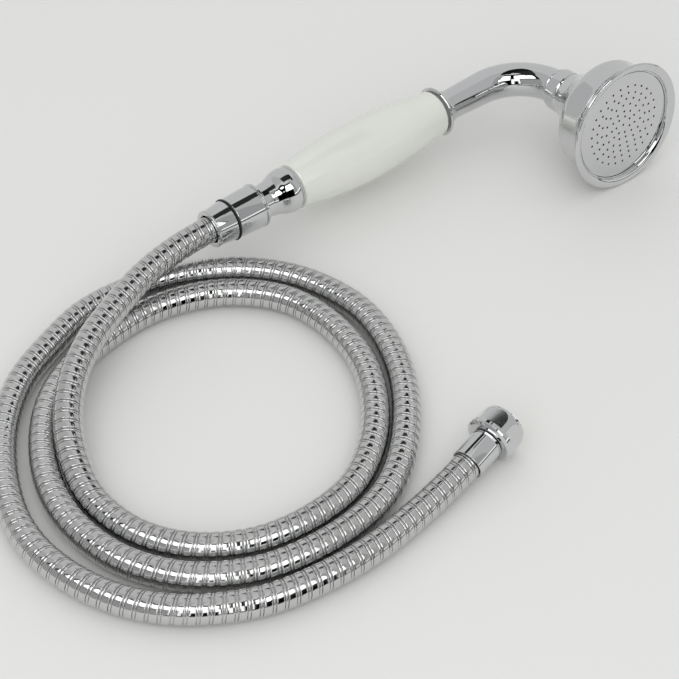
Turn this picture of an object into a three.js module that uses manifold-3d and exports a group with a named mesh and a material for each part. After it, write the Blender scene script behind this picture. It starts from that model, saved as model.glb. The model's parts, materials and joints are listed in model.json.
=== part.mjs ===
// Victorian style hand shower: a chromed spray head on a bent neck, a white ceramic barrel handle,
// and a metal hose with a conical swivel nut at the handset and a hex nut for the tap.
// Millimetres, +Z up. The handle's axis runs along +X, from the hose to the head, and the whole
// object lies on z = 0: the hose on its side, the handset on the lowest point of the head's rim.
import * as THREE from "three";
import { mergeVertices } from "three/addons/utils/BufferGeometryUtils.js";
import Module from "manifold-3d";

// ---- driving dimensions ----

const GAP = 0.3; // clearance between touching pieces

// Where the handset lies. Stations along the handle are counted from the swivel ring's face.
const SWIVEL = new THREE.Vector3(-120.47, 36.65, 25.55); // swivel ring, on the handle's axis
const ROLL = THREE.MathUtils.degToRad(6.9); // the head's plane tips up by this much

// Hose
const HOSE_R = 7;
const HOSE_BORE_R = 6.2;
const LINER_R = 5.4;
const LINER_BORE_R = 4;
const HOSE_SIDES = 10;
const HOSE_STEPS = 58;
const HOSE_Z = 7.1; // height of the hose's centre where it lies on the table

// Conical nut and its lower sleeve, from the hose towards the handset
const SLEEVE_START = -12;
const SLEEVE_R = 10.2;
const CONE_R = 11; // where sleeve and nut meet
const RING_R = 11.5;
const RING_THICK = 0.8;
const NUT_END = 19.6;
const NUT_END_R = 12;
const THREAD_R = 9.9; // stand-in radius of the male G1/2 thread
const THREAD_BORE_R = 10.2; // stand-in radius of the female thread

// Base fitting, ceramic barrel and top flange
const NIPPLE_START = 9.9;
const BASE_END = 41.4;
const BULGE_R = 12.4;
const CERAMIC_START = 42.4;
const CERAMIC_END = 142.2;
const CERAMIC_FOOT_R = 12.7;
const CERAMIC_TOP_R = 12.8;
const CERAMIC_BELLY_R = 17.2;
const CERAMIC_BORE_R = 6.6;
const CORE_R = 5.4;
const CORE_BORE_R = 4.2;
const FLANGE_START = 143.2;
const FLANGE_R = 14.1;

// Neck
const NECK_R = 8.2; // at the flange
const NECK_HEAD_R = 9.5; // from the bend on
const NECK_WALL = 1.4;
const NECK_TAPER = 0.45; // share of the neck's length over which it widens
const NECK_START = 147.4;
const BEND_START = 178.4;
const BEND_RADIUS = 28.6;
const BEND_ANGLE = THREE.MathUtils.degToRad(93.2);

// Head. Depths are counted back from the rim's crest, along the head's axis.
const HEAD_OFFSET = 86.45; // from the handle's axis to the rim's crest
const RIM_R = 36;
const PLATE_R = 30.4;
const PLATE_DEPTH = 3; // the plate's face, at the bottom of the dished rim
const PLATE_THICK = 1.2;
const SEAT_DEPTH = 5.4; // the back of the rim and of the gasket
const DRUM_R = 31;
const SHELL_BORE_R = 28.2;
const SHOULDER_DEPTH = 17.3; // where the drum starts to round inwards
const SHOULDER_R = 8;
const COLLAR_DEPTH = 45.5; // where the collar meets the head shell
const COLLAR_LENGTH = 9;
const COLLAR_R = 12;

// Spray holes, in rings round the plate's centre
const HOLE_R = 0.45;
const HOLE_SIDES = 5;
const HOLE_RINGS = [
  { radius: 0, count: 1, turn: 0 },
  { radius: 5, count: 7, turn: 26.5 },
  { radius: 8.3, count: 11, turn: 22 },
  { radius: 12.2, count: 15, turn: 20 },
  { radius: 15.6, count: 18, turn: 4 },
  { radius: 18.9, count: 23, turn: 2 },
  { radius: 22.8, count: 27, turn: 3.5 },
];

// Tap end of the hose
const TAP_AXIS = new THREE.Vector3(1, 0, 0)
  .applyAxisAngle(new THREE.Vector3(0, 1, 0), THREE.MathUtils.degToRad(-7.5))
  .applyAxisAngle(new THREE.Vector3(0, 0, 1), THREE.MathUtils.degToRad(11));
const FERRULE_R = 8.1;
const FERRULE_LENGTH = 15.8;
const HOSE_CRIMP = 5; // how far the hose goes into the ferrule
const HEX_LENGTH = 13.6;
const HEX_FLATS = 22.6;
const HEX_FLANGE = 3.2; // round band behind the flats
const HEX_BARREL_R = 12.3;

// The hose's centreline from the swivel ring, relative to the swivel's foot on the table.
// It crosses over its own second and third turn, then lies in loops beside itself.
const HOSE_ROUTE = [
  [-3.4, 0, SWIVEL.z],
  [-16, 0, SWIVEL.z],
  [-34, -0.8, 24.9],
  [-56, -5.2, 24],
  [-80, -14.2, 22.6],
  [-103, -25.5, 21.6],
  [-124, -41.5, 19.4],
  [-140, -61.5, 15.4],
  [-150, -85, 10.2],
  [-152.5, -106, 7.5],
  [-147.5, -130, HOSE_Z],
  [-133, -151, HOSE_Z],
  [-110, -165.6, HOSE_Z],
  [-83, -170.6, HOSE_Z],
  [-56, -167, HOSE_Z],
  [-32, -152.4, HOSE_Z],
  [-13.5, -132, HOSE_Z],
  [-1, -108, HOSE_Z],
  [3.6, -80, HOSE_Z],
  [-0.5, -54, HOSE_Z],
  [-14, -34, HOSE_Z],
  [-34, -20, HOSE_Z],
  [-60, -13, HOSE_Z],
  [-87, -14.6, HOSE_Z],
  [-112, -22, HOSE_Z],
  [-134, -35.4, HOSE_Z],
  [-152, -57, HOSE_Z],
  [-164, -83, HOSE_Z],
  [-167.4, -110, HOSE_Z],
  [-161.5, -138, HOSE_Z],
  [-145, -162.5, HOSE_Z],
  [-120, -179, HOSE_Z],
  [-91, -185.6, HOSE_Z],
  [-61, -184.2, HOSE_Z],
  [-36, -174, HOSE_Z],
  [-12, -153.5, HOSE_Z],
  [7, -128.4, HOSE_Z],
  [18.4, -101, HOSE_Z],
  [21.4, -74, HOSE_Z],
  [13.5, -44, HOSE_Z],
  [-4, -20, HOSE_Z],
  [-30, -2.6, HOSE_Z],
  [-58, 6, HOSE_Z],
  [-86, 6.6, HOSE_Z],
  [-113, -2.4, HOSE_Z],
  [-138, -15, HOSE_Z],
  [-161, -37, HOSE_Z],
  [-177.5, -64, HOSE_Z],
  [-187, -92, HOSE_Z],
  [-187, -121, HOSE_Z],
  [-177, -151, HOSE_Z],
  [-158, -175, HOSE_Z],
  [-129.6, -192.7, HOSE_Z],
  [-101, -199.8, HOSE_Z],
  [-73, -201.6, HOSE_Z],
  [-45, -198.8, HOSE_Z],
  [-26, -196, 8.1],
];
const HOSE_END = new THREE.Vector3(-10, -193.2, 9.9); // where the ferrule starts

// ---- materials ----

const material = (color, roughness, metalness) => new THREE.MeshStandardMaterial({ color, roughness, metalness });

const CHROME = material(0xd8dadb, 0.08, 1);
const STEEL = material(0xc4c6c7, 0.18, 1);
const BRASS = material(0xb5913f, 0.35, 1);
const CERAMIC = material(0xe6e9e1, 0.12, 0);
const RUBBER = material(0x141414, 0.7, 0);
const PLASTIC = material(0x8f9699, 0.5, 0);

// ---- helpers ----

const wasm = await Module();
wasm.setup();

// A ring or a disc turned about +X: outline points are [station, radius], running up the outside
// and, where the piece is hollow, back down the bore.
function turned(outline, segments = 28) {
  const points = outline.map(([station, radius]) => new THREE.Vector2(radius, station));
  const hollow = outline.every(([, radius]) => radius > 0);
  if (hollow) {
    points.push(points[0].clone());
  }
  return new THREE.LatheGeometry(points, segments).rotateZ(-Math.PI / 2);
}

// Points of a round stretch of an outline, between two angles about a centre.
function arc([station, radius], size, fromDegrees, toDegrees, steps) {
  return Array.from({ length: steps + 1 }, (_, i) => {
    const angle = THREE.MathUtils.degToRad(fromDegrees + ((toDegrees - fromDegrees) * i) / steps);
    return [station + size * Math.cos(angle), radius + size * Math.sin(angle)];
  });
}

// A smooth stretch of an outline through a few points.
function smooth(points, steps) {
  const curve = new THREE.SplineCurve(points.map(([station, radius]) => new THREE.Vector2(station, radius)));
  return curve.getPoints(steps).map((p) => [p.x, p.y]);
}

// A round tube with an open bore, swept along a curve.
function sweptTube(curve, radius, bore, sides, steps) {
  const section = new THREE.Shape(circle(radius, sides));
  section.holes.push(new THREE.Path(circle(bore, sides)));
  return new THREE.ExtrudeGeometry(section, { steps, extrudePath: curve, bevelEnabled: false });
}

// A tube whose radius changes along a flat curve: rings of points at even steps, joined into walls.
function taperedTube(curve, radiusAt, wall, sides, steps) {
  const across = new THREE.Vector3(0, 0, 1);
  const positions = [];
  for (let i = 0; i <= steps; i++) {
    const t = i / steps;
    const centre = curve.getPoint(t);
    const side = across.clone().cross(curve.getTangent(t));
    for (const radius of [radiusAt(t), radiusAt(t) - wall]) {
      for (const p of circle(radius, sides)) {
        positions.push(...centre.clone().addScaledVector(side, p.x).addScaledVector(across, p.y));
      }
    }
  }
  const index = [];
  const quad = (a, b, c, d) => index.push(a, b, c, a, c, d);
  const outer = (i, j) => i * 2 * sides + (j % sides);
  const inner = (i, j) => outer(i, j) + sides;
  for (let j = 0; j < sides; j++) {
    for (let i = 0; i < steps; i++) {
      quad(outer(i, j), outer(i, j + 1), outer(i + 1, j + 1), outer(i + 1, j));
      quad(inner(i, j + 1), inner(i, j), inner(i + 1, j), inner(i + 1, j + 1));
    }
    quad(inner(0, j), inner(0, j + 1), outer(0, j + 1), outer(0, j));
    quad(outer(steps, j), outer(steps, j + 1), inner(steps, j + 1), inner(steps, j));
  }
  return new THREE.BufferGeometry()
    .setAttribute("position", new THREE.Float32BufferAttribute(positions, 3))
    .setIndex(index);
}

function circle(radius, sides, [cx, cy] = [0, 0]) {
  return Array.from({ length: sides }, (_, i) => {
    const angle = ((i + 0.5) / sides) * 2 * Math.PI;
    return new THREE.Vector2(cx + radius * Math.cos(angle), cy + radius * Math.sin(angle));
  });
}

function solid(geometry) {
  const bare = geometry.clone();
  bare.deleteAttribute("normal");
  bare.deleteAttribute("uv");
  const merged = mergeVertices(bare, 1e-4);
  return new wasm.Manifold(
    new wasm.Mesh({
      numProp: 3,
      vertProperties: merged.attributes.position.array,
      triVerts: new Uint32Array(merged.index.array),
    }),
  );
}

function geometryOf(manifold) {
  const mesh = manifold.getMesh();
  const geometry = new THREE.BufferGeometry()
    .setAttribute("position", new THREE.BufferAttribute(mesh.vertProperties, 3))
    .setIndex(new THREE.BufferAttribute(mesh.triVerts, 1));
  geometry.computeVertexNormals();
  return geometry;
}

function add(group, name, geometry, look) {
  const mesh = new THREE.Mesh(geometry, look);
  mesh.name = name;
  group.add(mesh);
}

// ---- hose and what is fixed to it ----

function hoseCurve() {
  const foot = new THREE.Vector3(SWIVEL.x, SWIVEL.y, 0);
  const points = HOSE_ROUTE.map((p) => new THREE.Vector3(...p).add(foot));
  const end = HOSE_END.clone().add(foot);
  points.push(end, end.clone().addScaledVector(TAP_AXIS, HOSE_CRIMP));
  return new THREE.CatmullRomCurve3(points, false, "catmullrom", 0.5);
}

function addHose(group) {
  const curve = hoseCurve();
  add(group, "hose_jacket", sweptTube(curve, HOSE_R, HOSE_BORE_R, HOSE_SIDES, HOSE_STEPS), STEEL);
  add(group, "hose_liner", sweptTube(curve, LINER_R, LINER_BORE_R, HOSE_SIDES - 2, HOSE_STEPS), RUBBER);
}

// The sleeve is crimped over the hose's end: a cup with a tapered outside and a small rolled lip.
function addHandsetEndOfHose(group) {
  const sleeve = turned([
    [SLEEVE_START, HOSE_R + GAP + 0.4],
    [SLEEVE_START, SLEEVE_R - 0.4],
    [SLEEVE_START + 0.5, SLEEVE_R],
    [SLEEVE_START + 1.3, SLEEVE_R],
    [SLEEVE_START + 1.8, SLEEVE_R - 0.3],
    [-GAP - 0.4, CONE_R - 0.1],
    [-GAP, CONE_R - 0.4],
    [-GAP, 5.6],
    [-2.9, 5.6],
    [-2.9, HOSE_R + GAP + 0.4],
  ]);
  add(group, "hose_sleeve", sleeve, CHROME);
  const ring = turned([
    [0, 7.4],
    [0, RING_R - 0.3],
    [0.25, RING_R],
    [RING_THICK - 0.25, RING_R],
    [RING_THICK, RING_R - 0.3],
    [RING_THICK, 7.4],
  ]);
  add(group, "swivel_ring", ring, RUBBER);
  // The tail holds the liner from inside, passes through the sleeve and the nut, and ends in a flange.
  const tail = turned(
    [
      [-20, 2.6],
      [-20, 3.1],
      [-3, 3.3],
      [-1.8, 5.3],
      [5.4, 5.3],
      [6.4, 8.4],
      [7.9, 8.4],
      [7.9, 2.6],
    ],
    24,
  );
  add(group, "hose_tail_handset", tail, BRASS);
}

// ---- handset ----

function addConeNut(group) {
  const nut = turned([
    [RING_THICK + GAP, 6.2],
    [RING_THICK + GAP, CONE_R - 0.3],
    [RING_THICK + GAP + 0.4, CONE_R],
    [NUT_END - 2.6, NUT_END_R - 0.3],
    [NUT_END - 2.1, NUT_END_R - 0.7],
    [NUT_END - 1.5, NUT_END_R],
    [NUT_END - 0.6, NUT_END_R],
    [NUT_END, NUT_END_R - 0.7],
    [NUT_END, THREAD_BORE_R],
    [5.9, THREAD_BORE_R],
    [4.6, 6.2],
  ]);
  add(group, "cone_nut", nut, CHROME);
}

function addInlet(group) {
  const washer = turned(
    [
      [8.2, 5],
      [8.2, 9.4],
      [9.6, 9.4],
      [9.6, 5],
    ],
    24,
  );
  add(group, "inlet_washer", washer, RUBBER);
  const base = turned([
    [NIPPLE_START, CORE_BORE_R + 0.4],
    [NIPPLE_START, THREAD_R - 0.6],
    [NIPPLE_START + 0.6, THREAD_R],
    [NUT_END + 0.2, THREAD_R],
    [NUT_END + 0.8, 9.1],
    ...smooth(
      [
        [24.5, 9.1],
        [29, 9.9],
        [33, 11.5],
        [37, BULGE_R],
        [40.2, 12.1],
      ],
      7,
    ),
    [BASE_END, 11.4],
    [BASE_END, CORE_R + GAP],
    [26, CORE_R + GAP],
    [26, 5],
    [15.6, 5],
    [15.6, 7.2],
    [11.6, 7.2],
    [11.6, CORE_BORE_R + 0.4],
  ]);
  add(group, "base_fitting", base, CHROME);
}

// A small plastic disc with a centre hole, pressed into the nipple, that limits the flow.
function addFlowLimiter(group) {
  const disc = turned(
    [
      [11.9, 1.6],
      [11.9, 6.9],
      [15.3, 6.9],
      [15.3, 1.6],
    ],
    16,
  );
  add(group, "flow_limiter", disc, PLASTIC);
}

function addHandle(group) {
  const barrel = turned(
    [
      [CERAMIC_START, CERAMIC_BORE_R],
      [CERAMIC_START, CERAMIC_FOOT_R - 0.8],
      ...smooth(
        [
          [CERAMIC_START + 0.9, CERAMIC_FOOT_R],
          [CERAMIC_START + 24, 15.9],
          [CERAMIC_START + 48, CERAMIC_BELLY_R],
          [CERAMIC_START + 73, 15.8],
          [CERAMIC_END - 0.9, CERAMIC_TOP_R],
        ],
        12,
      ),
      [CERAMIC_END, CERAMIC_TOP_R - 0.8],
      [CERAMIC_END, CERAMIC_BORE_R],
    ],
    32,
  );
  add(group, "ceramic_handle", barrel, CERAMIC);
  const core = turned(
    [
      [26.4, CORE_BORE_R],
      [26.4, CORE_R],
      [NECK_START - 0.8, CORE_R],
      [NECK_START - 0.8, CORE_BORE_R],
    ],
    20,
  );
  add(group, "core_tube", core, BRASS);
  const cushion = (from, to) =>
    turned(
      [
        [from + 0.15, CERAMIC_BORE_R],
        [from + 0.15, 11.2],
        [to - 0.15, 11.2],
        [to - 0.15, CERAMIC_BORE_R],
      ],
      24,
    );
  add(group, "lower_cushion_washer", cushion(BASE_END, CERAMIC_START), PLASTIC);
  add(group, "upper_cushion_washer", cushion(CERAMIC_END, FLANGE_START), PLASTIC);
}

// The dished flange at the top of the handle: a thin lip, then a hollow curve up to the neck.
function addTopFlange(group) {
  const flange = turned([
    [FLANGE_START, CORE_R + GAP],
    [FLANGE_START, FLANGE_R - 0.5],
    [FLANGE_START + 0.6, FLANGE_R],
    [FLANGE_START + 1.3, FLANGE_R - 0.2],
    ...smooth(
      [
        [FLANGE_START + 1.9, FLANGE_R - 1.3],
        [FLANGE_START + 2.9, 11.4],
        [FLANGE_START + 4.6, 10],
        [FLANGE_START + 7, 9.4],
      ],
      5,
    ),
    [FLANGE_START + 8, NECK_R + GAP],
    [NECK_START - GAP, NECK_R + GAP],
    [NECK_START - GAP, CORE_R + GAP],
  ]);
  add(group, "top_flange", flange, CHROME);
}

// The head's axis, in the handset's own plane: it leaves the handle's axis by BEND_ANGLE.
const HEAD_DIRECTION = new THREE.Vector3(Math.cos(BEND_ANGLE), -Math.sin(BEND_ANGLE), 0);
const BEND_EXIT = new THREE.Vector3(
  BEND_START + BEND_RADIUS * Math.sin(BEND_ANGLE),
  -BEND_RADIUS * (1 - Math.cos(BEND_ANGLE)),
  0,
);
const RIM_CENTRE = BEND_EXIT.clone().addScaledVector(
  HEAD_DIRECTION,
  (HEAD_OFFSET + BEND_EXIT.y) / Math.sin(BEND_ANGLE),
);
const NECK_TAIL = BEND_EXIT.distanceTo(RIM_CENTRE) - COLLAR_DEPTH - 1.7; // straight, past the bend

class NeckCurve extends THREE.Curve {
  constructor() {
    super();
    this.lead = BEND_START - NECK_START;
    this.bend = BEND_RADIUS * BEND_ANGLE;
    this.total = this.lead + this.bend + NECK_TAIL;
  }

  getPoint(t, target = new THREE.Vector3()) {
    const s = t * this.total;
    if (s < this.lead) {
      return target.set(NECK_START + s, 0, 0);
    }
    if (s < this.lead + this.bend) {
      const angle = (s - this.lead) / BEND_RADIUS;
      return target.set(
        BEND_START + BEND_RADIUS * Math.sin(angle),
        -BEND_RADIUS * (1 - Math.cos(angle)),
        0,
      );
    }
    return target.copy(BEND_EXIT).addScaledVector(HEAD_DIRECTION, s - this.lead - this.bend);
  }
}

// The head's own group: its +X runs out of the spray plate, and x = 0 is the rim's crest.
function headGroup() {
  const group = new THREE.Group();
  group.position.copy(RIM_CENTRE);
  group.rotation.z = -BEND_ANGLE;
  return group;
}

function addNeck(group, head) {
  const radiusAt = (t) => NECK_R + (NECK_HEAD_R - NECK_R) * Math.min(1, t / NECK_TAPER);
  const tube = taperedTube(new NeckCurve(), radiusAt, NECK_WALL, 18, 16);
  tube.computeVertexNormals();
  add(group, "neck_tube", tube, CHROME);
  const back = -COLLAR_DEPTH - COLLAR_LENGTH;
  const ring = turned(
    [
      [back - 2, NECK_HEAD_R + GAP],
      [back - 2, 10.4],
      [back - 1.5, 10.9],
      [back - 0.8, 10.9],
      [back - GAP, 10.5],
      [back - GAP, NECK_HEAD_R + GAP],
    ],
    28,
  );
  add(head, "neck_ring", ring, CHROME);
  const collar = turned([
    [back, NECK_HEAD_R + GAP],
    [back, COLLAR_R - 1],
    [back + 0.9, COLLAR_R],
    [-COLLAR_DEPTH - 1, COLLAR_R + 0.2],
    [-COLLAR_DEPTH, COLLAR_R - 0.3],
    [-COLLAR_DEPTH, NECK_HEAD_R + GAP],
  ]);
  add(head, "union_collar", collar, CHROME);
  const washer = turned(
    [
      [-COLLAR_DEPTH - 1.4, 6],
      [-COLLAR_DEPTH - 1.4, NECK_HEAD_R],
      [-COLLAR_DEPTH, NECK_HEAD_R],
      [-COLLAR_DEPTH, 6],
    ],
    20,
  );
  add(head, "union_washer", washer, RUBBER);
}

// The head's shell: a drum with a round shoulder, open to the neck behind and to the plate in front.
function addHeadShell(head) {
  const back = -COLLAR_DEPTH + GAP;
  const outside = [
    [back, 11],
    [back + 0.8, 12.6],
    ...smooth(
      [
        [-42.5, 13.4],
        [-36, 16.2],
        [-29.5, 22],
        [-25.5, 26],
      ],
      6,
    ),
    ...arc([-SHOULDER_DEPTH, DRUM_R - SHOULDER_R], SHOULDER_R, 137, 90, 4),
    [-9, DRUM_R],
    [-7, DRUM_R + 0.4],
    [-SEAT_DEPTH - GAP, DRUM_R + 1.5],
  ];
  const inside = [
    [-SEAT_DEPTH - GAP, SHELL_BORE_R],
    [-16.5, SHELL_BORE_R - 0.4],
    [-20.5, 25],
    [-31.5, 15.4],
    [-38.5, 11],
    [-41.5, 8.6],
    [back, 8.6],
  ];
  add(head, "head_shell", turned([...outside, ...inside], 36), CHROME);
}

// The rim: a rolled edge, then a dished ring that steps down to the plate it holds.
function addFace(head) {
  const rim = turned(
    [
      [-SEAT_DEPTH, PLATE_R + GAP],
      [-SEAT_DEPTH, DRUM_R + 1.5],
      [-4, DRUM_R + 2.2],
      [-2.3, RIM_R - 0.9],
      [-1.6, RIM_R],
      [-0.7, RIM_R],
      [-0.1, RIM_R - 0.4],
      [0, RIM_R - 1],
      [-0.4, RIM_R - 1.9],
      [-1.5, RIM_R - 3.6],
      [-2.1, RIM_R - 4.6],
      [-2.8, PLATE_R + GAP],
    ],
    40,
  );
  add(head, "head_rim", rim, CHROME);
  const gasket = turned(
    [
      [-SEAT_DEPTH, SHELL_BORE_R + GAP],
      [-SEAT_DEPTH, PLATE_R - 0.2],
      [-PLATE_DEPTH - PLATE_THICK - GAP, PLATE_R - 0.2],
      [-PLATE_DEPTH - PLATE_THICK - GAP, SHELL_BORE_R + GAP],
    ],
    36,
  );
  add(head, "plate_gasket", gasket, RUBBER);
  add(head, "spray_plate", sprayPlate(), CHROME);
}

function sprayPlate() {
  const disc = new THREE.Shape(circle(PLATE_R, 40));
  for (const { radius, count, turn } of HOLE_RINGS) {
    for (let i = 0; i < count; i++) {
      const angle = THREE.MathUtils.degToRad(turn) + (i / count) * 2 * Math.PI;
      const centre = [radius * Math.cos(angle), radius * Math.sin(angle)];
      disc.holes.push(new THREE.Path(circle(HOLE_R, HOLE_SIDES, centre)));
    }
  }
  return new THREE.ExtrudeGeometry(disc, { depth: PLATE_THICK, bevelEnabled: false })
    .rotateY(Math.PI / 2)
    .translate(-PLATE_DEPTH - PLATE_THICK, 0, 0);
}

// ---- tap end of the hose ----

// Its own +X runs out of the nut, and x = 0 is where the ferrule starts.
function tapGroup() {
  const group = new THREE.Group();
  group.position.set(SWIVEL.x, SWIVEL.y, 0).add(HOSE_END);
  group.quaternion.setFromUnitVectors(new THREE.Vector3(1, 0, 0), TAP_AXIS);
  return group;
}

function addTapEnd(group) {
  const ferrule = turned(
    [
      [0, HOSE_R + GAP + 0.3],
      [0, FERRULE_R - 0.3],
      [0.3, FERRULE_R],
      [FERRULE_LENGTH - 0.4, FERRULE_R],
      [FERRULE_LENGTH, FERRULE_R - 0.4],
      [FERRULE_LENGTH, 5.6],
      [HOSE_CRIMP + GAP, 5.6],
      [HOSE_CRIMP + GAP, HOSE_R + GAP + 0.3],
    ],
    24,
  );
  add(group, "tap_ferrule", ferrule, CHROME);
  const flange = FERRULE_LENGTH + 3.9;
  const tail = turned(
    [
      [-5, 2.6],
      [-5, 3],
      [HOSE_CRIMP + 0.5, 3.3],
      [HOSE_CRIMP + 1.6, 5.3],
      [flange, 5.3],
      [flange, 8.6],
      [flange + 1.5, 8.6],
      [flange + 1.5, 2.6],
    ],
    20,
  );
  add(group, "hose_tail_tap", tail, BRASS);
  const washer = turned(
    [
      [flange + 1.8, 5],
      [flange + 1.8, 9.4],
      [flange + 3.6, 9.4],
      [flange + 3.6, 5],
    ],
    20,
  );
  add(group, "tap_washer", washer, RUBBER);
  add(group, "hex_nut", hexNut(), CHROME);
}

// A crowned barrel with six flats, a round band behind them and a threaded socket in front.
function hexNut() {
  const start = FERRULE_LENGTH + GAP;
  const end = start + HEX_LENGTH;
  const barrel = turned(
    [
      [start, 5.6],
      [start, 10.4],
      [start + 0.7, 11.7],
      [start + 1.6, HEX_BARREL_R - 0.1],
      [start + HEX_FLANGE + 1, HEX_BARREL_R],
      [start + 7.6, HEX_BARREL_R],
      [start + 10.4, HEX_BARREL_R - 0.4],
      [end - 0.9, HEX_BARREL_R - 1],
      [end, HEX_BARREL_R - 1.6],
      [end, THREAD_BORE_R + 0.2],
      [end - 0.6, THREAD_BORE_R - 0.3],
      [start + 3.3, THREAD_BORE_R - 0.3],
      [start + 3.3, 5.6],
    ],
    30,
  );
  const corner = HEX_FLATS / 2 / Math.cos(Math.PI / 6);
  const flats = new THREE.CylinderGeometry(corner, corner, HEX_LENGTH, 6)
    .rotateZ(-Math.PI / 2)
    .translate(start + HEX_FLANGE + HEX_LENGTH / 2, 0, 0);
  const band = new THREE.CylinderGeometry(corner, corner, HEX_LENGTH, 30)
    .rotateZ(-Math.PI / 2)
    .translate(start + HEX_FLANGE - HEX_LENGTH / 2, 0, 0);
  return geometryOf(solid(barrel).intersect(solid(flats).add(solid(band))));
}

// ---- the whole object ----

const hose = new THREE.Group();
addHose(hose);

const handset = new THREE.Group();
handset.position.copy(SWIVEL);
handset.rotation.x = -ROLL;
addHandsetEndOfHose(handset);
addConeNut(handset);
addInlet(handset);
addFlowLimiter(handset);
addHandle(handset);
addTopFlange(handset);
const head = headGroup();
addNeck(handset, head);
addHeadShell(head);
addFace(head);
handset.add(head);

const tapEnd = tapGroup();
addTapEnd(tapEnd);

export default new THREE.Group().add(hose, handset, tapEnd);
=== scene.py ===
"""Looks of a traditional hand shower with a ceramic handle and a metal hose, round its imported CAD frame.

Sizes are in millimetres along each piece's own axis, and become metres when a mesh is placed.
Places come from the frame: the two joints, and the nodes' own vertices. Only the hose's route is
repeated here.
"""

import json
import math

import bmesh
import bpy
import numpy as np
from mathutils import Matrix, Vector


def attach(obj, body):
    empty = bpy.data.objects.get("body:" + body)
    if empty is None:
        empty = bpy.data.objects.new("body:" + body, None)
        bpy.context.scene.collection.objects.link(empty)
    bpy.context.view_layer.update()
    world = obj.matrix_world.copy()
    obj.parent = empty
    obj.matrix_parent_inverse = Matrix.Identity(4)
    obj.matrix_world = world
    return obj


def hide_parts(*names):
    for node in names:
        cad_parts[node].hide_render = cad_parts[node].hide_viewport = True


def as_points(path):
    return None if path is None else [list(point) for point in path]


MM = 0.001

# Segments round a piece
FINEST = 192  # the widest turned pieces, and the hex nut
FINE = 160  # other turned pieces
COARSE = 96  # small turned pieces that are mostly hidden
NECK_SIDES = 112
LINER_SIDES = 16
PLATE_SIDES = 144
HOLE_SIDES = 14
HOSE_TURN = 28  # one turn of the hose's strip
THREAD_TURN = 72  # one turn of the hex nut's thread

WELD = 2e-6  # metres: closer points of a wound surface become one
SLIVER = 1e-7  # metres: shorter edges of a wound surface go
SAME_SHARE = 1e-6  # of a pitch
CURVE_WELD = 0.001  # millimetres: closer points of the spray plate become one

# The hose's centreline, as in part.mjs: relative to the foot of the swivel on the table.
SWIVEL_HEIGHT = 25.55
LYING = 7.1  # height of the centreline where the hose lies on the table
HOSE_EXIT = -3.4  # station on the handle's axis where the hose begins, inside its sleeve
HOSE_ROUTE = [
    (HOSE_EXIT, 0, SWIVEL_HEIGHT),
    (-16, 0, SWIVEL_HEIGHT),
    (-34, -0.8, 24.9),
    (-56, -5.2, 24),
    (-80, -14.2, 22.6),
    (-103, -25.5, 21.6),
    (-124, -41.5, 19.4),
    (-140, -61.5, 15.4),
    (-150, -85, 10.2),
    (-152.5, -106, 7.5),
    (-147.5, -130, LYING),
    (-133, -151, LYING),
    (-110, -165.6, LYING),
    (-83, -170.6, LYING),
    (-56, -167, LYING),
    (-32, -152.4, LYING),
    (-13.5, -132, LYING),
    (-1, -108, LYING),
    (3.6, -80, LYING),
    (-0.5, -54, LYING),
    (-14, -34, LYING),
    (-34, -20, LYING),
    (-60, -13, LYING),
    (-87, -14.6, LYING),
    (-112, -22, LYING),
    (-134, -35.4, LYING),
    (-152, -57, LYING),
    (-164, -83, LYING),
    (-167.4, -110, LYING),
    (-161.5, -138, LYING),
    (-145, -162.5, LYING),
    (-120, -179, LYING),
    (-91, -185.6, LYING),
    (-61, -184.2, LYING),
    (-36, -174, LYING),
    (-12, -153.5, LYING),
    (7, -128.4, LYING),
    (18.4, -101, LYING),
    (21.4, -74, LYING),
    (13.5, -44, LYING),
    (-4, -20, LYING),
    (-30, -2.6, LYING),
    (-58, 6, LYING),
    (-86, 6.6, LYING),
    (-113, -2.4, LYING),
    (-138, -15, LYING),
    (-161, -37, LYING),
    (-177.5, -64, LYING),
    (-187, -92, LYING),
    (-187, -121, LYING),
    (-177, -151, LYING),
    (-158, -175, LYING),
    (-129.6, -192.7, LYING),
    (-101, -199.8, LYING),
    (-73, -201.6, LYING),
    (-45, -198.8, LYING),
    (-26, -196, 8.1),
]
HOSE_CRIMP = 5  # how far the hose goes into the ferrule
HOSE_R = 7
HOSE_BORE_R = 5.9  # inside of the strip, clear of the liner
HOSE_PITCH = 5.2
HOSE_RINGS = 300  # steps along the strip's inside
LINER_R = 5.4
LINER_BORE_R = 4
LINER_RINGS = 360  # steps along the liner
PATH_POINTS = 400  # points along the hose's centreline, worked out at the end

# One pitch of the wound strip, as (share of the pitch, radius): a wide band that is almost flat, and
# a narrow lower bead between two thin, deep seams.
HOSE_PROFILE = [
    (0, 6.68),
    (0.02, 6.85),
    (0.05, 6.935),
    (0.1, 6.98),
    (0.2, 6.995),
    (0.335, HOSE_R),
    (0.47, 6.995),
    (0.57, 6.98),
    (0.62, 6.935),
    (0.65, 6.85),
    (0.67, 6.68),
    (0.675, 6.15),
    (0.72, 6.15),
    (0.725, 6.6),
    (0.745, 6.72),
    (0.785, 6.82),
    (0.835, 6.86),
    (0.885, 6.82),
    (0.925, 6.72),
    (0.945, 6.6),
    (0.95, 6.15),
    (0.995, 6.15),
    (1, 6.68),
]

# The neck
NECK_BEND_R = 28.6
NECK_R = 8.2
NECK_HEAD_R = 9.5
NECK_WALL = 1.4
NECK_TAPER = 0.45  # share of the neck's length over which it widens from the handle's end
NECK_RINGS = 120  # steps along the neck

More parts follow.
